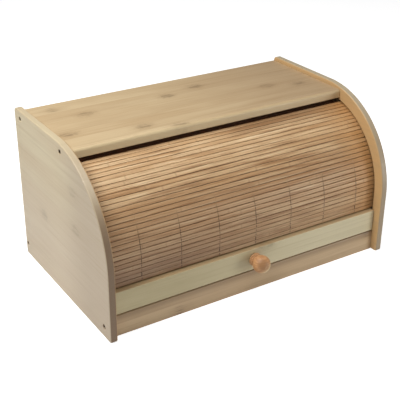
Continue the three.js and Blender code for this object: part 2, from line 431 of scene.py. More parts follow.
@dataclass(frozen=True)
class BambooBoard:
    """Pressed bamboo: strips side by side, with fibres, darker knuckles and thin glue lines.

    Lengths are in millimetres. Colours are display values from 0 to 255.
    """

    name: str
    pale: Colour
    warm: Colour
    dark: Colour
    grain: Grain
    strip_width: float = 21.0
    knuckle_spacing: float = 150.0
    knuckle_share: float = 0.5
    strip_contrast: float = 0.4
    seed: float = 0.0
    roughness: float = 0.42
    coat: float = 0.1
    end_grain: Colour = (120, 92, 62)
    end_share: float = 0.6
    # Colours that the board takes on along an axis: (axis, start, where it is full, share, colour).
    tints: tuple = ()
    # How strongly streaks, fibres and glue lines show.
    figure: float = 1.0
    # Places of single knuckles, as (along, across) the grain, and how dark they are.
    knots: tuple = ()
    knot_strength: float = 0.45
    # Painted light and shade on faces that look another way: (axis, sign, colour, share).
    painted_face_shading: tuple = ()
    # Where the end grain starts and ends to show, as the share of a face turned to the fibres' end.
    end_range: tuple[float, float] = (0.35, 0.95)

    def material(self) -> bpy.types.Material:
        """Builds the board's material.

        Returns:
            The material.
        """
        g = Graph(self.name)
        axes = g.parts(g.place())
        along, across, through = (axes[i] for i in self.grain.value)
        wander = g.noise(g.join(g.times(along, 2.0), across, through), 4.0)
        across_mm = g.scaled(wander, 2.2, g.times(across, 1000.0))
        strip_place = g.math("ADD", g.math("DIVIDE", across_mm, self.strip_width), self.seed + 0.37)
        strip = g.math("FLOOR", strip_place)
        from_middle = g.from_half(strip_place)
        strip_tone = g.random(g.join(strip, self.seed, 0.0))
        lengthwise = g.scaled(strip_tone, 3.0, along)

        place = (lengthwise, across, through)
        fibre = g.stretched(place, (9.0, 420.0, 420.0), 4.0, 0.6)
        streak = g.stretched(place, (4.0, 95.0, 95.0), 3.0, 0.55)
        cloud = g.stretched(place, (7.0, 22.0, 22.0), 3.0, 0.55)
        glue = g.fade(from_middle, 0.475, 0.5)
        scratches = g.stretched(place, (45.0, 330.0, 330.0), 3.0, 0.6)
        knuckle, halo = self.knuckles(g, along, strip, from_middle, wander, scratches)
        knot, stain = self.single_knuckles(g, along, across, scratches)

        tone = g.scaled(strip_tone, self.strip_contrast, g.fade(cloud, 0.3, 0.7, 0.0, 0.7))
        pale, warm = self.tinted(g, rgb(*self.pale)), self.tinted(g, rgb(*self.warm))
        colour = g.blend(tone, pale, warm)
        dark = rgb(*self.dark)
        scar = rgb(*(0.66 * v for v in self.dark))
        for share, darker in (
            (g.fade(streak, 0.46, 0.74, 0.0, 0.30 * self.figure), dark),
            (g.fade(fibre, 0.52, 0.72, 0.0, 0.30 * self.figure), dark),
            (g.times(glue, 0.20 * self.figure), dark),
            (g.times(halo, 0.22), dark),
            (g.times(knuckle, 0.5), scar),
            (g.times(stain, 0.5 * self.knot_strength), dark),
            (g.times(knot, self.knot_strength), scar),
            (g.times(self.cross_cut(g), self.end_share), rgb(*self.end_grain)),
        ):
            colour = g.blend(share, colour, darker)
        # Painted light and shade, by the way each face looks.
        for axis, sign, other, share in self.painted_face_shading:
            turned_to = g.times(g.parts(g.normal())[axis], sign)
            colour = g.blend(g.fade(turned_to, 0.3, 0.95, 0.0, share), colour, rgb(*other))

        g.set(Base_Color=colour, Coat_Weight=self.coat, Coat_Roughness=0.3, IOR=1.46,
              Roughness=g.fade(fibre, 0.3, 0.75, self.roughness - 0.05, self.roughness + 0.12))
        relief = g.math("SUBTRACT", g.times(fibre, 0.6), g.times(glue, 0.7))
        g.set(Normal=g.bump(g.scaled(knuckle, -0.5, relief), 0.35, 0.0003))
        return g.material

    def knuckles(self, g: Graph, along: Socket, strip: Socket, from_middle: Socket, wander: Socket,
                 scratches: Socket) -> tuple[Socket, Socket]:
        """Where some strips cross a stem's joint: a scratchy dark patch with a soft shade round it.

        Args:
            g: The material.
            along: Place along the grain, in metres.
            strip: The strip's number.
            from_middle: Distance from the strip's middle line, 0.5 at its edge.
            wander: Slow noise.
            scratches: Noise stretched along the grain.

        Returns:
            The patch and the shade, both from 0 to 1.
        """
        offset = g.times(g.random(g.join(strip, self.seed, 7.0)), 9.0)
        stem = g.scaled(along, 1000.0 / self.knuckle_spacing, offset)
        stem = g.scaled(wander, 0.12, stem)
        shown = g.math("GREATER_THAN", g.random(g.join(strip, g.math("FLOOR", stem), self.seed)),
                       1.0 - self.knuckle_share)
        from_joint = g.from_half(stem)
        reach = 11.0 / self.knuckle_spacing
        inside_strip = g.times(shown, g.fade(from_middle, 0.2, 0.48, 1.0, 0.0))
        patch = g.times(g.fade(from_joint, 0.0, reach, 1.0, 0.0), g.fade(scratches, 0.44, 0.62))
        shade = g.fade(from_joint, 0.0, reach * 3.0, 1.0, 0.0)
        return g.times(patch, inside_strip), g.times(shade, inside_strip)

    def single_knuckles(self, g: Graph, along: Socket, across: Socket, scratches: Socket) -> tuple:
        """The listed knuckles: a scratchy patch in a wider stain, both longer along the grain.

        Args:
            g: The material.
            along: Place along the grain, in metres.
            across: Place across the grain, in metres.
            scratches: Noise stretched along the grain.

        Returns:
            The patch and the stain, both from 0 to 1.
        """
        if not self.knots:
            return 0.0, 0.0
        ragged = g.noise(g.place(), 210.0, 4.0, 0.75)
        place = g.join(along, g.times(across, 1.7), 0.0)
        nearest = 1.0
        for knot_along, knot_across in self.knots:
            knot = (knot_along * MM, knot_across * 1.7 * MM, 0.0)
            distance = g.add("VectorMath", {0: place, 1: knot}, operation="DISTANCE").outputs["Value"]
            nearest = g.math("MINIMUM", nearest, distance)
        reach = g.scaled(ragged, -0.024, nearest)
        wear_and_shade = g.fade(scratches, 0.42, 0.58, 0.1, 1.0)
        patch = g.times(g.fade(reach, -0.008, 0.002, 1.0, 0.0), wear_and_shade)
        return patch, g.fade(reach, -0.006, 0.012, 1.0, 0.0)

    def cross_cut(self, g: Graph) -> Socket:
        """How far a face cuts across the fibres: from 0 on a long face to 1 on an end face."""
        normal = g.parts(g.normal())[self.grain.value[0]]
        return g.fade(g.math("ABSOLUTE", normal), *self.end_range)

    def tinted(self, g: Graph, colour: tuple) -> Socket | tuple:
        """A colour of the board, changed by its tints.

        Args:
            g: The material.
            colour: The colour before them.

        Returns:
            The colour after them.
        """
        axes = g.parts(g.place())
        for axis, start, full, share, other in self.tints:
            colour = g.blend(g.fade(axes[axis], start * MM, full * MM, 0.0, share), colour, rgb(*other))
        return colour


@dataclass(frozen=True)
class SplitBamboo:
    """Thin split-bamboo slats: each its own tone, streaked along, with painted shade towards the gaps.

    The meshes carry the marks "tone" (one value a slat), "face" (1 on the crown, 0 in the gap)
    and "roll" (0 at the handle bar, 1 under the top panel).
    """

    name: str = "split_bamboo"
    pale: Colour = (226, 200, 160)
    light: Colour = (211, 181, 140)
    warm: Colour = (188, 148, 103)
    dark: Colour = (138, 100, 64)
    # Painted shade colours: a darker band across the curtain's middle, and its darker lower part.
    mid_shade: Colour = (140, 96, 56)
    low_shade: Colour = (120, 92, 74)
    # Painted warm bounce light from the right panel on the slats' right end.
    right_end_bounce: Colour = (182, 132, 76)
    # Painted shade colour of the slats' edges towards the gaps.
    gap: Colour = (112, 72, 40)

    def material(self) -> bpy.types.Material:
        """Builds the slats' material.

        Returns:
            The material.
        """
        g = Graph(self.name)
        x, y, z = g.parts(g.place())
        tone, face, roll = g.mark("tone"), g.mark("face"), g.mark("roll")
        shift = g.times(tone, 17.0)
        lengthwise = g.math("ADD", x, shift)

        fibre = g.stretched((lengthwise, y, z), (18.0, 900.0, 900.0), 4.0, 0.58)
        streak = g.stretched((lengthwise, y, z), (12.0, 260.0, 260.0), 4.0, 0.58)
        patch = g.noise(g.join(g.times(lengthwise, 6.0), shift, 0.0), 1.0, 2.0, 0.5)
        cloud = g.noise(g.join(g.times(x, 7.0), g.times(roll, 11.0), 3.0), 1.0, 3.0, 0.55)

        # Knuckles: a thin dark line with a pale shoulder, about one on each slat.
        stem = g.scaled(x, 3.1, shift)
        from_joint = g.from_half(stem)
        knuckle = g.fade(from_joint, 0.0, 0.006, 1.0, 0.0)
        shoulder = g.fade(from_joint, 0.004, 0.04, 1.0, 0.0)

        spread = g.scaled(g.fade(patch, 0.3, 0.7), 0.35, g.times(tone, 0.35))
        spread = g.scaled(g.fade(cloud, 0.35, 0.65), 0.4, spread)
        colour = g.blend(spread, rgb(*self.light), rgb(*self.warm))
        dark = rgb(*self.dark)
        # Painted shade down the curtain: a darker middle band, and a darker lower part that is strongest on
        # the left.
        middle = g.times(g.fade(roll, 0.38, 0.78, 0.52, 0.0), g.fade(roll, 0.2, 0.42, 0.3, 1.0))
        low = g.times(g.fade(roll, 0.0, 0.44, 0.7, 0.0), g.fade(x, -0.2, 0.15, 1.0, 0.15))
        # Painted shade at the top of the curtain's right half, next to the top panel.
        top_right_shade = g.times(g.fade(roll, 0.88, 0.96, 0.0, 0.75), g.fade(x, -0.04, 0.06))
        # Painted shade on the slats' rounded edges, towards the gaps between them.
        rim = g.times(g.fade(face, 0.0, 0.45, 0.8, 0.0), g.fade(streak, 0.4, 0.58, 0.1, 1.0))
        for share, other in (
            (g.fade(streak, 0.3, 0.48, 0.75, 0.0), rgb(*self.pale)),
            (g.fade(streak, 0.51, 0.68, 0.0, 0.65), dark),
            (g.fade(fibre, 0.48, 0.68, 0.0, 0.6), dark),
            (top_right_shade, dark),
            (middle, rgb(*self.mid_shade)),
            (low, rgb(*self.low_shade)),
            # Painted warm bounce light on the slats' right end.
            (g.fade(x, 0.13, 0.2, 0.0, 0.7), rgb(*self.right_end_bounce)),
            (g.times(shoulder, 0.12), rgb(*self.light)),
            (g.times(knuckle, 0.3), dark),
            (rim, rgb(*self.gap)),
        ):
            colour = g.blend(share, colour, other)

        g.set(Base_Color=colour, IOR=1.45, Roughness=g.fade(fibre, 0.3, 0.75, 0.44, 0.62))
        g.set(Normal=g.bump(fibre, 0.5, 0.0003))
        return g.material


@dataclass(frozen=True)
class TurnedWood:
    """Lacquered hardwood turned on a lathe: growth rings cut across, long pores, a soft coat."""

    name: str = "turned_wood"
    light: Colour = (204, 156, 108)
    dark: Colour = (158, 108, 66)
    # The next two colours are painted light: shade where the knob faces the viewer, a pale reflection on its
    # lower rim.
    facing_shade: Colour = (134, 96, 60)
    rim: Colour = (206, 190, 148)
    height: float = 43.0
    front: float = -135.4
    heart_drop: float = 34.0

    def material(self) -> bpy.types.Material:
        """Builds the knob's material.

        Returns:
            The material.
        """
        g = Graph(self.name)
        x, y, z = g.parts(g.place())
        sway = g.noise(g.place(), 30.0, 2.0)

        # Growth rings lie round the stem's heart, a line along Y below the knob.
        over = g.math("SUBTRACT", z, (self.height - self.heart_drop) * MM)
        from_heart = g.math("SQRT", g.math("ADD", g.math("POWER", x, 2.0), g.math("POWER", over, 2.0)))
        ring = g.scaled(from_heart, 2600.0, g.times(sway, 5.0))
        rings = g.scaled(g.math("SINE", ring), 0.5, 0.5)
        pore = g.stretched((x, y, z), (900.0, 60.0, 900.0), 3.0, 0.6)
        colour = g.blend(g.scaled(rings, 0.30, g.fade(sway, 0.35, 0.65, 0.05, 0.4)),
                         rgb(*self.light), rgb(*self.dark))
        colour = g.blend(g.fade(pore, 0.56, 0.74, 0.0, 0.5), colour, rgb(*(0.7 * v for v in self.dark)))
        # Painted shade where the knob faces the viewer, and a painted pale reflection on its far lower side.
        ahead = g.fade(y, (self.front + SHIFT + 15.0) * MM, (self.front + SHIFT + 20.0) * MM, 1.0, 0.0)
        normal = g.normal()
        for towards, low, share, other in (((-0.36, -0.84, 0.40), 0.72, 0.65, self.facing_shade),
                                           ((0.62, -0.25, -0.74), 0.1, 0.85, self.rim)):
            facing = g.add("VectorMath", {0: normal, 1: towards}, operation="DOT_PRODUCT").outputs["Value"]
            wavy = g.scaled(sway, 0.1, facing)
            spot = g.times(ahead, g.fade(wavy, low, 1.02, 0.0, share))
            colour = g.blend(spot, colour, rgb(*other))
        g.set(Base_Color=colour, Coat_Weight=0.08, Coat_Roughness=0.35, IOR=1.45,
              Roughness=g.fade(pore, 0.3, 0.7, 0.46, 0.6))
        g.set(Normal=g.bump(pore, 0.25, 0.0002))
        return g.material


@dataclass(frozen=True)
class WovenCotton:
    """Plain-woven brown cotton, darkened at its end under the top panel as painted shade, drawn on the
    cloth's own flat map, in millimetres.
    """

    name: str = "woven_cotton"
    light: Colour = (172, 132, 88)
    dark: Colour = (112, 80, 50)
    hem_shade: Colour = (138, 90, 60)
    hem_start: float = 131.0
    threads_per_mm: float = 1.25

    def material(self) -> bpy.types.Material:
        """Builds the cloth's material: warp and weft as crossed sine ridges in a checker.

        Returns:
            The material.
        """
        g = Graph(self.name)
        u, v, _ = g.parts(g.add("UVMap", {}, uv_map="Weave").outputs[0])
        turn = 2 * math.pi * self.threads_per_mm
        warp = g.math("SINE", g.times(u, turn))
        weft = g.math("SINE", g.times(v, turn))
        weave = g.scaled(g.times(warp, weft), 0.5, 0.5)
        slub = g.noise(g.join(g.times(u, 0.05), g.times(v, 0.6), 0.0), 1.0, 3.0)
        fuzz = g.noise(g.place(), 900.0, 3.0)
        share = g.scaled(weave, 0.45, g.fade(slub, 0.3, 0.7, 0.0, 0.45))
        colour = g.blend(share, rgb(*self.light), rgb(*self.dark))
        colour = g.blend(g.fade(fuzz, 0.5, 0.75, 0.0, 0.25), colour, rgb(*self.light))
        # Painted shade: the cloth's end, which lies in the dark under the top panel, takes a darker colour.
        colour = g.blend(g.fade(v, self.hem_start, self.hem_start + 0.6, 0.0, 0.9), colour, rgb(*self.hem_shade))
        g.set(Base_Color=colour, Roughness=g.fade(fuzz, 0.3, 0.7, 0.85, 0.97), Sheen_Weight=0.25,
              Sheen_Roughness=0.5)
        g.set(Normal=g.bump(weave, 0.6, 0.0002))
        return g.material


@dataclass(frozen=True)
class SewingThread:
    """Waxed brown thread with a twist, dark on the lower slats and the slats' own colour towards the top."""

    name: str = "sewing_thread"
    dark: Colour = (58, 38, 24)
    slat_colour: Colour = (172, 138, 98)

    def material(self) -> bpy.types.Material:
        """Builds the thread's material.

        Returns:
            The material.
        """
        g = Graph(self.name)
        x, y, z = g.parts(g.place())
        twist = g.math("SINE", g.times(g.math("ADD", g.math("ADD", x, y), z), 7000.0))
        fuzz = g.noise(g.place(), 1400.0, 2.0)
        # Dark low down; higher up the thread takes the slats' colour.
        colour = g.blend(g.fade(g.mark("roll"), 0.26, 0.46), rgb(*self.dark), rgb(*self.slat_colour))
        colour = g.blend(g.fade(fuzz, 0.4, 0.7, 0.0, 0.35), colour, rgb(*(0.6 * v for v in self.dark)))
        g.set(Base_Color=colour, Roughness=g.fade(fuzz, 0.3, 0.7, 0.6, 0.85))
        g.set(Normal=g.bump(twist, 0.5, 0.0001))
        return g.material


@dataclass(frozen=True)
class BronzedSteel:
    """Dark bronzed screw steel with fine, brighter scratches."""

    name: str = "bronzed_steel"

    def material(self) -> bpy.types.Material:
        """Builds the screws' material.

        Returns:
            The material.
        """
        g = Graph(self.name)
        scratch = g.noise(g.place(), 2200.0, 4.0, 0.65)
        patch = g.noise(g.place(), 420.0, 2.0)
        colour = g.blend(g.fade(patch, 0.35, 0.65), rgb(50, 38, 28), rgb(26, 19, 14))
        colour = g.blend(g.fade(scratch, 0.6, 0.75, 0.0, 0.4), colour, rgb(92, 74, 56))
        g.set(Base_Color=colour, Metallic=0.6, Roughness=g.fade(scratch, 0.3, 0.7, 0.5, 0.7))
        g.set(Normal=g.bump(scratch, 0.3, 0.0001))
        return g.material


# ---------------------------------------------------------------------------------------------
# Sub-assemblies
# ---------------------------------------------------------------------------------------------
def dress(piece: bpy.types.Object, material: bpy.types.Material, body: str, slot: str, *nodes: str) -> None:
    """Gives a piece its material, its body and the CAD nodes that it stands for.

    Args:
        piece: The finished piece.
        material: Its material.
        body: The CAD body that it moves with.
        slot: The record's material slot; not used.
        *nodes: The CAD nodes that it stands for.
    """
    piece.data.materials.clear()
    piece.data.materials.append(material)
    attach(piece, body)
    if nodes:
        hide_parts(*nodes)
    log.info("%s: %d faces, rides on %s", piece.name, len(piece.data.polygons), body)


@dataclass
class Board:
    """A straight board between the side panels: a rounded rectangle in (y, z), carried along X."""

    name: str
    node: str
    slot: str
    front: float
    rear: float
    low: float
    high: float
    edge: float
    half_length: float = INNER_HALF - GAP
    end_round: float = 0.5
    body: str = "case"
    front_low: float = 0.0
    front_high: float = 0.0

    def profile(self, inset: Points) -> Points:
        """The rounded rectangle, shrunk by an inset for each row.

        Args:
            inset: (rows,) how far each row's profile lies inside the outline.

        Returns:
            (rows, columns, 2) points.
        """
        corners = [(self.front, self.low, 1, 1, 180, self.front_low or self.edge),
                   (self.rear, self.low, -1, 1, 270, self.edge),
                   (self.rear, self.high, -1, -1, 0, self.edge),
                   (self.front, self.high, 1, -1, 90, self.front_high or self.edge)]
        pieces = []
        for y, z, sign_y, sign_z, start, edge in corners:
            radius = np.maximum(edge - inset, 0.05)
            middle = np.stack([y + sign_y * (inset + radius), z + sign_z * (inset + radius)], -1)[:, None]
            pieces.append(middle + arc((0.0, 0.0), radius, start, start + 90, 9))
        return np.concatenate(pieces, 1)

    def build(self) -> bpy.types.Object:
        """Builds the board's mesh, with its ends rounded.

        Returns:
            The object.
        """
        depth, inset = quarter_rounding(self.end_round, 4)
        x = np.concatenate([-self.half_length + depth, (self.half_length - depth)[::-1]])
        board = sweep(self.name, x, self.profile(np.concatenate([inset, inset[::-1]])))
        soften(board, 50.0)
        return board

    def dress(self, finish: BambooBoard) -> None:
        """Builds the board and gives it a finish."""
        dress(self.build(), finish.material(), self.body, self.slot, self.node)


@dataclass
class SidePanel:
    """A side panel: an outline with one large arc, a routed track inside and four screw holes."""

    side: int
    arc_radius: float = 121.5
    top_corner: float = 5.0
    foot_corner: float = 3.0
    edge: float = 1.6
    track_outer: float = 106.2
    track_inner: float = 98.0
    track_depth: float = 5.0
    track_rear_low: float = 72.0
    track_front_low: float = 54.0
    slot_depth: float = 4.3
    screw_places: tuple = ((-11.7, 191.7), (103.3, 191.7), (114.2, 15.7), (-104.2, 13.9))

    @property
    def word(self) -> str:
        """Which side this is, as a word."""
        return "left" if self.side < 0 else "right"

    def outline(self, inset: Points) -> Points:
        """Foot, back, top and the large arc round to the front.

        Args:
            inset: (rows,) how far each row's outline lies inside the panel's.

        Returns:
            (rows, columns, 2) points.
        """
        rear_foot = (HALF_DEPTH - self.foot_corner, self.foot_corner)
        rear_top = (HALF_DEPTH - self.top_corner, BOX_HEIGHT - self.top_corner)
        big = (self.arc_radius - HALF_DEPTH, BOX_HEIGHT - self.arc_radius)
        front_foot = (-HALF_DEPTH + self.foot_corner, self.foot_corner)
        return np.concatenate([
            arc(rear_foot, self.foot_corner - inset, 270, 360, 8),
            arc(rear_top, self.top_corner - inset, 0, 90, 10),
            arc(big, self.arc_radius - inset, 90, 180, 72),
            arc(front_foot, self.foot_corner - inset, 180, 270, 8),
        ], 1)

    def track(self) -> bpy.types.Object:
        """Builds the cutter for the routed track: two half circles joined by legs with round ends.

        Returns:
            The cutter.
        """
        middle = (self.track_outer + self.track_inner) / 2
        end = (self.track_outer - self.track_inner) / 2
        loop = np.concatenate([
            arc((0.0, TRACK_HEIGHT), self.track_outer, 180, 0, 120),
            arc((middle, self.track_rear_low), end, 0, -180, 12),
            arc((0.0, TRACK_HEIGHT), self.track_inner, 0, 180, 120),
            arc((-middle, self.track_front_low + end), end, 0, -180, 12),
        ])
        x = self.side * np.array([INNER_HALF - 1.0, INNER_HALF + self.track_depth])
        return sweep("track_cutter", x, np.stack([loop, loop]))

    def build(self) -> bpy.types.Object:
        """Builds the panel: the outline carried across its thickness with quarter-round rims.

        Returns:
            The object.
        """
        depth, inset = quarter_rounding(self.edge, 7)
        x = self.side * np.concatenate([BOX_WIDTH / 2 - depth, (INNER_HALF + depth)[::-1]])
        panel = sweep(f"{self.word}_side_board", x, self.outline(np.concatenate([inset, inset[::-1]])))
        slot = Board("slot_cutter", "", "", front=-102.8, rear=113.3, low=4.7, high=10.3, edge=0.5)
        slot_cutter = sweep(slot.name, self.side * np.array([INNER_HALF - 1.0, INNER_HALF + self.slot_depth]),
                            slot.profile(np.zeros(2)))
        # A chamfered counterbore for the head, then a clear hole for the shank: radius and depth.
        hole = np.array([(0.0, -1.0), (4.6, -1.0), (3.1, 0.5), (3.1, 4.2), (2.0, 4.2), (2.0, 12.0),
                         (0.0, 12.0)])
        outer, inward = self.side * BOX_WIDTH / 2, (-self.side, 0, 0)
        holes = [turned(f"hole_cutter_{i}", hole, (outer, y, z), inward, 32)
                 for i, (y, z) in enumerate(self.screw_places)]
        cut(panel, [self.track(), slot_cutter, *holes])
        soften(panel, 35.0)
        return panel

    def dress(self, finish: BambooBoard) -> None:
        """Builds the panel and gives it a finish."""
        dress(self.build(), finish.material(), "case", "side_bamboo", f"side_panel_{self.word}")


@dataclass
class Screw:
    """A round-headed screw with a hexagon socket."""

    head_radius: float
    head_height: float
    shank_radius: float
    length: float
    socket: float = 1.5

    def build(self, name: str, head: tuple, direction: tuple) -> bpy.types.Object:
        """Turns the screw.

        Args:
            name: The piece's name.
            head: The middle of the head's top.
            direction: The way the shank points.

        Returns:
            The object.
        """
        r, h = self.head_radius, self.head_height
        flank = np.linspace(h + 0.2, self.length - 3.0, 2 * int((self.length - h - 3.0) / 1.4))
        crest = np.where(np.arange(len(flank)) % 2, self.shank_radius, self.shank_radius - 0.35)
        thread = np.stack([crest, flank], -1)
        bead = arc((r - 0.6, 0.6), 0.6, -90, 0, 5)
        socket = [(0.0, 1.5), (self.socket, 1.5), (self.socket, 0.0)]
        profile = np.concatenate([socket, bead, [(r, h), (self.shank_radius, h + 0.2)], thread,
                                  [(self.shank_radius - 0.4, self.length - 2.4), (0.0, self.length)]])
        hexagonal = np.zeros(len(profile))
        hexagonal[:3] = 1.0
        screw = turned(name, profile, head, direction, 36, hexagonal)
        soften(screw, 30.0)
        return screw


@dataclass
class Carcass:
    """The fixed box: side panels, boards and the screws that hold them."""

    left: SidePanel = field(default_factory=lambda: SidePanel(-1))
    right: SidePanel = field(default_factory=lambda: SidePanel(1))
    top: Board = field(default_factory=lambda: Board(
        "top_board", "top_panel", "top_bamboo", front=-25.4, rear=119.4, low=185.6, high=197.0, edge=1.0,
        front_high=4.0))
    back: Board = field(default_factory=lambda: Board(
        "back_board", "back_panel", "back_bamboo", front=109.0, rear=119.4, low=0.5, high=185.3, edge=1.2))
    rail: Board = field(default_factory=lambda: Board(
        "front_rail_board", "front_rail", "rail_bamboo", front=-110.0, rear=-98.5, low=0.0, high=27.4,
        edge=2.4, front_low=0.6))
    bottom: Board = field(default_factory=lambda: Board(
        "bottom_board", "bottom_panel", "bottom_board", front=-102.5, rear=113.0, low=5.0, high=10.0,
        edge=0.4, half_length=INNER_HALF + 4.0))
    screw: Screw = field(default_factory=lambda: Screw(
        head_radius=2.8, head_height=2.6, shank_radius=1.7, length=34.0))
    screw_sink: float = 1.3

    def build(self) -> None:
        """Builds and dresses every fixed piece."""
        # Painted shade: these boards grow darker towards the right, away from the main lamp.
        tan = dict(pale=(207, 184, 145), warm=(190, 163, 124), dark=(148, 117, 82),
                   tints=((0, -60, 200, 0.75, (174, 146, 112)),))
        side = dict(pale=(206, 192, 159), warm=(197, 178, 145), dark=(162, 140, 110),
                    grain=Grain.ALONG_Y_STANDING, knuckle_share=0.0, end_share=0.75, figure=0.55,
                    knot_strength=0.25)
        # Side panels: pinker and greyer towards the bottom, and painted shade darker towards the front.
        wear_and_shade = ((2, 170, 40, 0.6, (202, 184, 162)), (1, 20, -70, 0.75, (176, 158, 134)))
        # Painted warm bounce light and shade on the panels' inner faces.
        inner = (200, 160, 106)
        left_knots = ((-41.0, 154.0), (-43.0, 107.0), (49.0, 87.0))
        right_knots = ((62.0, 142.0), (-66.0, 96.0), (18.0, 48.0))
        self.left.dress(BambooBoard("side_bamboo_left", seed=3.0, knots=self.placed(left_knots),
                                    end_grain=(98, 67, 34), end_range=(0.64, 0.96),
                                    tints=(*wear_and_shade, (0, -193, -191.4, 0.85, inner)), **side))
        # The right panel's upward faces take painted grey shade.
        self.right.dress(BambooBoard("side_bamboo_right", seed=8.0, knots=self.placed(right_knots),
                                     end_grain=(146, 128, 102), painted_face_shading=((2, 1, (170, 154, 128), 0.5),),
                                     tints=(*wear_and_shade, (0, 193, 191.4, 0.85, inner)), **side))
        top_knots = ((-130.0, 65.0), (-176.0, 17.0), (-90.0, -5.0), (-50.0, -22.0), (-15.0, 70.0),
                     (35.0, 82.0), (117.0, 35.0), (160.0, 22.0))
        # Top panel: painted light on its front edge.
        self.top.dress(BambooBoard("top_bamboo", grain=Grain.ALONG_X_LYING, seed=1.0, knuckle_share=0.12,
                                   figure=0.7, knots=tuple((x, y + SHIFT) for x, y in top_knots),
                                   painted_face_shading=((1, -1, (208, 188, 144), 0.5),), **tan))
        self.back.dress(BambooBoard("back_bamboo", grain=Grain.ALONG_X_STANDING, seed=5.0, **tan))
        self.bottom.dress(BambooBoard("bottom_bamboo", grain=Grain.ALONG_X_LYING, seed=6.0, coat=0.0,
                                      roughness=0.6, **tan))
        # Painted shadow of the handle bar: the rail darkens towards its top edge.
        self.rail.dress(BambooBoard("rail_bamboo", (196, 170, 134), (182, 154, 118), (144, 116, 86),
                                    Grain.ALONG_X_STANDING, seed=11.0, strip_width=27.0,
                                    tints=((2, 15, 25, 0.65, (128, 102, 72)),)))
        self.screws()

    @staticmethod
    def placed(knots: tuple) -> tuple:
        """Knuckle places on an upright side panel, moved from the box's own frame to the scene's."""
        return tuple((y + SHIFT, z) for y, z in knots)

    def screws(self) -> None:
        """Turns the eight side screws, sunk in their counterbores."""
        steel = BronzedSteel().material()
        names = ("top_front", "top_rear", "back", "rail")
        for panel in (self.left, self.right):
            head_x = panel.side * (BOX_WIDTH / 2 - self.screw_sink)
            for name, (y, z) in zip(names, panel.screw_places):
                screw = self.screw.build(f"{panel.word}_{name}_screw", (head_x, y, z), (-panel.side, 0, 0))
                dress(screw, steel, "case", "screw_steel", f"screw_{panel.word}_{name}")


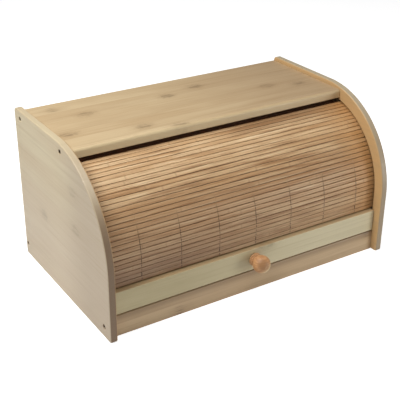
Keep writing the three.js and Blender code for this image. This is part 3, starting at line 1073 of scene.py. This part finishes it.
@dataclass
class Curtain:
    """The roll curtain: bamboo slats on cloth, sewn across, on a track of one leg and one arc."""

    slat_turn: float = math.radians(3.18)
    in_leg: int = 4
    in_arc: int = 24
    cloth_end: float = 87.5
    back_radius: float = 99.5
    thickness: float = 4.0
    width: float = 5.2
    half_length: float = INNER_HALF + 4.5
    cloth_outer: float = 99.2
    cloth_inner: float = 98.4
    cloth_half: float = 189.0
    cloth_clear: float = 0.03
    thread_radius: float = 0.4
    first_thread: float = -150.0
    thread_spacing: float = 52.0
    threads: int = 7
    thread_dip: float = 0.55
    last_sewn: int = 14
    seed: int = 20
    shoulder: float = 0.9
    shoulder_drop: float = 0.08
    crown_power: float = 0.3
    sway: float = 0.08

    @property
    def hinge_radius(self) -> float:
        """The middle of the cloth, where the curtain bends."""
        return (self.cloth_outer + self.cloth_inner) / 2

    @property
    def leg_pitch(self) -> float:
        """Slat spacing on the straight leg: the chord of one slat's turn."""
        return 2 * self.hinge_radius * math.sin(self.slat_turn / 2)

    def roll(self, number: int) -> float:
        """How far up the curtain a slat lies: 0 at the handle bar, 1 under the top panel."""
        return (number - 1) / (self.in_leg + self.in_arc - 1)

    @property
    def leg_low(self) -> float:
        """Height of the lowest slat's lower end."""
        return TRACK_HEIGHT - self.in_leg * self.leg_pitch

    def body_of(self, number: int) -> str:
        """The body of a slat, numbered upwards from 1 at the handle bar."""
        return "lower_curtain" if number <= self.in_leg else "curtain"

    def on_track(self, number: int, upward: Points, outward: Points) -> Points:
        """Places points given relative to a slat.

        Args:
            number: The slat's number.
            upward: Distance up the curtain from the slat's middle line.
            outward: Distance from the track's middle, or from the box's middle on the leg.

        Returns:
            (..., 2) places in (y, z).
        """
        if number <= self.in_leg:
            height = self.leg_low + (number - 0.5) * self.leg_pitch
            sink = self.back_radius * (1 - math.cos(self.slat_turn / 2))
            return np.stack([sink - outward, height + upward], -1)
        turn = (number - self.in_leg - 0.5) * self.slat_turn
        y = -outward * math.cos(turn) + upward * math.sin(turn)
        z = TRACK_HEIGHT + outward * math.sin(turn) + upward * math.cos(turn)
        return np.stack([y, z], -1)

    def slat(self, number: int, rng: np.random.Generator) -> bpy.types.Object:
        """One split-bamboo slat: flat behind, crowned in front, a little uneven along its length.

        Its profile goes round from the lower back edge: the front is half an ellipse-like crown
        whose height and half width swell and shrink along X as sums of slow sine waves.

        Args:
            number: The slat's number.
            rng: Where its unevenness comes from.

        Returns:
            The object.
        """
        x = np.linspace(-self.half_length, self.half_length, 90)
        phases = rng.uniform(0, 2 * math.pi, (3, 4))
        lengths = np.array([310.0, 140.0, 67.0, 31.0])
        waves = np.sin(x[None, None] * 2 * math.pi / lengths[None, :, None] + phases[..., None])
        swell, lean, lift = (waves * np.array([1.0, 0.8, 0.6, 0.35])[None, :, None]).sum(1) / 2.0
        crown_width = self.width / 2 - 0.02 + 0.06 * swell - rng.uniform(0.0, 0.06)
        crown_height = self.thickness - 0.10 + 0.07 * lift - rng.uniform(0.0, 0.32)
        # A superellipse quarter on each side gives a nearly flat face with rounded shoulders.
        angle = np.linspace(0, math.pi, 13)
        side = -np.sign(np.cos(angle)) * np.abs(np.cos(angle)) ** self.crown_power
        rise = np.abs(np.sin(angle)) ** self.crown_power
        upward = side[None] * crown_width[:, None] + self.sway * lean[:, None]
        outward = self.back_radius + (crown_height[:, None] - self.shoulder) + self.shoulder * rise[None]
        outward = outward - self.shoulder_drop * side[None] ** 2
        feet = np.array([-1.0, 1.0])
        feet_up = feet[None] * crown_width[:, None] + self.sway * lean[:, None]
        feet_out = np.full_like(feet_up, self.back_radius + 0.02)
        upward = np.concatenate([feet_up[:, :1], upward, feet_up[:, 1:]], 1)
        outward = np.concatenate([feet_out[:, :1], outward, feet_out[:, 1:]], 1)
        face = np.broadcast_to(np.concatenate([[0.0], rise, [0.0]]), upward.shape)
        marks = {"face": face.ravel(), "tone": np.full(upward.size, rng.uniform()),
                 "roll": np.full(upward.size, self.roll(number))}
        slat = sweep(f"bamboo_slat_{number:02d}", x, self.on_track(number, upward, outward), marks=marks)
        soften(slat, 60.0)
        return slat

    def cloth_arc(self) -> bpy.types.Object:
        """The backing behind the arc: a thin ring sector, carried along X.

        Returns:
            The object.
        """
        start = 180.0 - math.degrees(GAP / 2 / self.hinge_radius)
        end = 180.0 - self.cloth_end
        count, centre = 161, (0.0, TRACK_HEIGHT)
        loop = np.concatenate([arc(centre, self.cloth_outer - self.cloth_clear, start, end, count),
                               arc(centre, self.cloth_inner, end, start, count)])
        return self.cloth_piece("backing_cloth_sheet", loop)

    def cloth_strip(self, name: str, low: float, high: float) -> bpy.types.Object:
        """A flat strip of the backing.

        Args:
            name: The piece's name.
            low: Its lower end's height.
            high: Its upper end's height.

        Returns:
            The object.
        """
        rise = np.linspace(low, high, max(3, int((high - low) / 2)))
        loop = np.concatenate([np.stack([np.full_like(rise, self.cloth_clear - self.cloth_outer), rise], -1),
                               np.stack([np.full_like(rise, -self.cloth_inner), rise[::-1]], -1)])
        return self.cloth_piece(name, loop)

    def cloth_piece(self, name: str, loop: Points) -> bpy.types.Object:
        """Carries a cloth section along X and gives it a flat map in millimetres.

        The map's second value is the distance walked along the section's outer side; the inner side
        takes the same values in reverse.

        Args:
            name: The piece's name.
            loop: (n, 2) the section, out along one side and back along the other.

        Returns:
            The object.
        """
        x = np.linspace(-self.cloth_half, self.cloth_half, 24)
        walked = np.concatenate([[0.0], np.cumsum(np.linalg.norm(np.diff(loop, axis=0), axis=1))])
        half = len(loop) // 2
        walked[half:] = walked[:half][::-1]
        uv = np.stack(np.broadcast_arrays(x[:, None], walked[None]), -1).reshape(-1, 2)
        cloth = sweep(name, x, np.broadcast_to(loop, (len(x), *loop.shape)), uv=uv)
        soften(cloth, 40.0)
        return cloth

    def thread_lines(self, numbers: range, name: str) -> bpy.types.Object:
        """The seven sewing threads where they cross some of the lower slats, as one piece.

        Each thread is a small circle carried up the curtain. It lies on the slats' crowns and
        dips into each gap: its height above the cloth is a raised cosine of the slat's width.

        Args:
            numbers: The slats it crosses.
            name: The piece's name.

        Returns:
            The object.
        """
        steps, sides = 9, 8
        crown = self.back_radius + self.thickness - 0.22
        ring = np.linspace(0, 2 * math.pi, sides, endpoint=False)
        reach = self.leg_pitch / 2
        rise = np.linspace(-reach, reach, steps)
        dip = self.thread_dip * (1 - np.cos(math.pi * np.abs(rise) / reach)) / 2
        path_up = np.tile(rise, (sides, 1)).T
        out = crown - dip[:, None] + self.thread_radius * np.cos(ring)[None]
        sections = []
        for number in numbers:
            stretch = 1.0 if number <= self.in_leg else (crown * self.slat_turn) / self.leg_pitch
            sections.append(self.on_track(number, path_up * stretch, out))
        profile = np.concatenate(sections)
        rows = len(profile)
        roll = np.repeat([self.roll(n) for n in numbers], steps)
        vertices, faces = [], []
        for line in range(self.threads):
            x = self.first_thread + line * self.thread_spacing + self.thread_radius * np.sin(ring)
            along = np.broadcast_to(x[None, :, None], (rows, sides, 1))
            vertices.append(np.concatenate([along, profile], -1).reshape(-1, 3))
            first = line * rows * sides
            faces += [[first + i for i in f] for f in grid_faces(rows, sides)]
        marks = {"roll": np.tile(np.repeat(roll, sides), self.threads)}
        threads = make_object(name, np.concatenate(vertices), faces, marks=marks)
        close_poles(threads)
        return threads

    def build(self) -> None:
        """Builds and dresses the slats, the cloth and the threads."""
        finishes = (SplitBamboo, WovenCotton, SewingThread)
        bamboo, cotton, thread = (finish().material() for finish in finishes)
        rng = np.random.default_rng(self.seed)
        for number in range(1, self.in_leg + self.in_arc + 1):
            body = self.body_of(number)
            dress(self.slat(number, rng), bamboo, body, "slat_bamboo", f"slat_{number:02d}")
        dress(self.cloth_arc(), cotton, "curtain", "backing_fabric", "backing_cloth")
        strip = self.cloth_strip("backing_cloth_strip", self.leg_low + GAP / 2, TRACK_HEIGHT - GAP / 2)
        dress(strip, cotton, "lower_curtain", "backing_fabric", "backing_cloth_leg")
        leg_slats = range(1, self.in_leg + 1)
        arc_slats = range(self.in_leg + 1, self.last_sewn + 1)
        dress(self.thread_lines(leg_slats, "sewing_threads_leg"), thread, "lower_curtain", "backing_fabric")
        dress(self.thread_lines(arc_slats, "sewing_threads_arc"), thread, "curtain", "backing_fabric")


@dataclass
class Handle:
    """The handle bar at the curtain's lower edge, its turned knob and the knob's screw."""

    curtain: Curtain
    front: float = -110.0
    rear: float = -99.5
    low: float = 28.2
    knob_lift: float = 0.4
    knob_front: float = -135.4
    ball_radius: float = 10.9
    ring_radius: float = 8.4
    neck_radius: float = 6.3
    tail_drop: float = 24.0
    screw: Screw = field(default_factory=lambda: Screw(
        head_radius=4.0, head_height=2.4, shank_radius=1.8, length=27.3))

    def knob_profile(self) -> Points:
        """The knob's section, as radius and distance forward from the bar.

        A flat foot with a rounded bead, a groove, a second thinner bead, another groove, and a ball
        that is a little flattened at the front.

        Returns:
            (n, 2) points from the axis at the foot to the axis at the front.
        """
        length = self.front - self.knob_front - 0.1
        ball_middle = length - self.ball_radius + 0.35
        bead = arc((self.ring_radius - 1.4, 1.5), 1.4, -90, 70, 12)
        second = arc((self.ring_radius - 1.7, 4.15), 0.95, -60, 60, 8)
        start = 180.0 - math.degrees(math.asin(self.neck_radius / self.ball_radius))
        angle = np.radians(np.linspace(start, 0.0, 44))
        ball = self.ball_radius * np.stack([np.sin(angle), np.cos(angle)], -1) + (0.0, ball_middle)
        ball[:, 1] = np.minimum(ball[:, 1], length - 0.02 * ball[:, 0] ** 2 / self.ball_radius)
        foot = [(0.0, 0.0), (bead[0, 0] - 0.4, 0.0)]
        return np.concatenate([foot, bead, self.groove(bead[-1], second[0], 0.5), second,
                               self.groove(second[-1], ball[0], 0.35), ball])

    @staticmethod
    def groove(start: Points, end: Points, depth: float) -> Points:
        """Points between two places on the knob, sunk towards its axis by half a sine wave.

        Args:
            start: The first place.
            end: The last place.
            depth: How deep the groove is.

        Returns:
            (n, 2) points, without the two places.
        """
        share = np.linspace(0, 1, 7)[1:-1, None]
        path = start + (end - start) * share
        path[:, 0] -= depth * np.sin(math.pi * share[:, 0])
        return path

    def build(self) -> None:
        """Builds and dresses the bar, the cloth tail behind it, the knob and its screw."""
        high = self.curtain.leg_low - 1.0
        middle = (self.low + high) / 2
        bar = Board("handle_bar_board", "handle_bar", "bar_bamboo", self.front, self.rear, self.low, high,
                    edge=1.2, half_length=INNER_HALF - 0.8, body="handle")
        # The bar: painted light paler towards the right, and painted warm shade on its top face under the
        # curtain.
        bar.dress(BambooBoard("bar_bamboo", (188, 175, 137), (178, 164, 126), (144, 126, 90),
                              Grain.ALONG_X_STANDING, seed=14.0, strip_width=29.0, knuckle_share=0.0,
                              figure=0.6, tints=((0, -130, 120, 0.75, (208, 197, 164)),),
                              knots=((18.0, 57.0),),
                              painted_face_shading=((2, 1, (166, 136, 98), 0.8),)))
        tail = self.curtain.cloth_strip("backing_cloth_end", self.curtain.leg_low - self.tail_drop,
                                        self.curtain.leg_low - GAP / 2)
        cotton, steel = (bpy.data.materials[finish.name] for finish in (WovenCotton, BronzedSteel))
        dress(tail, cotton, "handle", "backing_fabric", "backing_cloth_tail")
        foot = (0.0, self.front - 0.1, middle + self.knob_lift)
        knob = turned("turned_knob", self.knob_profile(), foot, (0, -1, 0), 64)
        soften(knob, 40.0)
        wood = TurnedWood(height=middle, front=self.knob_front).material()
        dress(knob, wood, "handle", "knob_wood", "knob")
        head_y = -self.curtain.cloth_inner + GAP + self.screw.head_height
        screw = self.screw.build("knob_fixing_screw", (0.0, head_y, middle), (0, -1, 0))
        dress(screw, steel, "handle", "screw_steel", "knob_screw")


@dataclass
class Studio:
    """Camera, pale floor and soft light."""

    eye: tuple = (-543.9, -840.8, 579.4)
    azimuth: float = -0.5673
    elevation: float = 0.4667
    roll: float = 0.0079
    lens: float = 78.69
    floor_size: float = 14.0
    floor_glow: float = 0.72
    room_light: float = 0.155

    def camera(self) -> None:
        """Sets up the camera from its place, direction and roll."""
        data = bpy.data.cameras.new("camera")
        data.lens, data.sensor_width = self.lens, 36.0
        camera = link(bpy.data.objects.new("camera", data))
        back = Vector((math.sin(self.azimuth) * math.cos(self.elevation),
                       -math.cos(self.azimuth) * math.cos(self.elevation), math.sin(self.elevation)))
        right = Vector((0, 0, 1)).cross(back).normalized()
        up = back.cross(right)
        tilted_right = right * math.cos(self.roll) + up * math.sin(self.roll)
        tilted_up = up * math.cos(self.roll) - right * math.sin(self.roll)
        turn = Matrix((tilted_right, tilted_up, back)).transposed().to_4x4()
        place = Vector((self.eye[0], self.eye[1] + SHIFT, self.eye[2])) * MM
        camera.matrix_world = Matrix.Translation(place) @ turn
        bpy.context.scene.camera = camera

    def floor(self) -> None:
        """A wide pale floor with a faint mottle, bright enough to pass for a lit paper sweep."""
        half = self.floor_size / 2
        mesh = bpy.data.meshes.new("floor")
        corners = [(-half, -half, 0), (half, -half, 0), (half, half, 0), (-half, half, 0)]
        mesh.from_pydata(corners, [], [(0, 1, 2, 3)])
        floor = link(bpy.data.objects.new("floor", mesh))
        g = Graph("floor_paper")
        mottle = g.noise(g.place(), 3.0, 2.0)
        seen = g.add("LightPath", {}).outputs["Is Camera Ray"]
        grey = g.blend(g.fade(mottle, 0.3, 0.7), (0.83, 0.83, 0.83, 1.0), (0.85, 0.85, 0.85, 1.0))
        g.set(Base_Color=grey, Roughness=0.9, Emission_Color=(1.0, 1.0, 1.0, 1.0),
              Emission_Strength=g.times(seen, self.floor_glow))
        mesh.materials.append(g.material)

    def light(self, name: str, place: tuple, size: float, power: float) -> None:
        """A large square lamp that faces the box.

        Args:
            name: The lamp's name.
            place: Where it stands, in metres.
            size: Its side, in metres.
            power: Its power in watts.
        """
        data = bpy.data.lights.new(name, "AREA")
        data.shape, data.size, data.energy = "SQUARE", size, power
        lamp = link(bpy.data.objects.new(name, data))
        lamp.location = place
        aim = Vector((0.0, 0.0, 0.1)) - Vector(place)
        lamp.rotation_euler = aim.to_track_quat("-Z", "Y").to_euler()

    def build(self) -> None:
        """Sets up everything round the box."""
        self.camera()
        self.floor()
        self.room()
        bpy.context.scene.view_settings.view_transform = "Standard"
        self.light("left_softbox", (-0.75, 0.02, 1.15), 0.6, 14.3)
        self.light("top_softbox", (0.0, -0.25, 1.3), 0.6, 4.2)
        self.light("right_fill", (0.65, -1.25, 0.32), 0.35, 0.7)
        self.light("low_right_fill", (0.6, -0.75, 0.15), 0.25, 2.0)

    def room(self) -> None:
        """White surroundings: full white to the eye, dimmer as a light on the box."""
        world = bpy.data.worlds.new("room")
        world.use_nodes = True
        tree = world.node_tree
        seen = tree.nodes.new("ShaderNodeLightPath").outputs["Is Camera Ray"]
        strength = tree.nodes.new("ShaderNodeMapRange")
        strength.inputs["To Min"].default_value = self.room_light
        strength.inputs["To Max"].default_value = 1.0
        tree.links.new(seen, strength.inputs["Value"])
        background = tree.nodes["Background"]
        background.inputs["Color"].default_value = (1.0, 1.0, 1.0, 1.0)
        tree.links.new(strength.outputs[0], background.inputs["Strength"])
        bpy.context.scene.world = world


def main() -> None:
    """Builds the box and its surroundings."""
    logging.basicConfig(level=logging.INFO, format="%(name)s: %(message)s")
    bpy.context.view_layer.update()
    Studio().build()
    Carcass().build()
    curtain = Curtain()
    curtain.build()
    Handle(curtain).build()


if __name__ == "__main__":
    main()
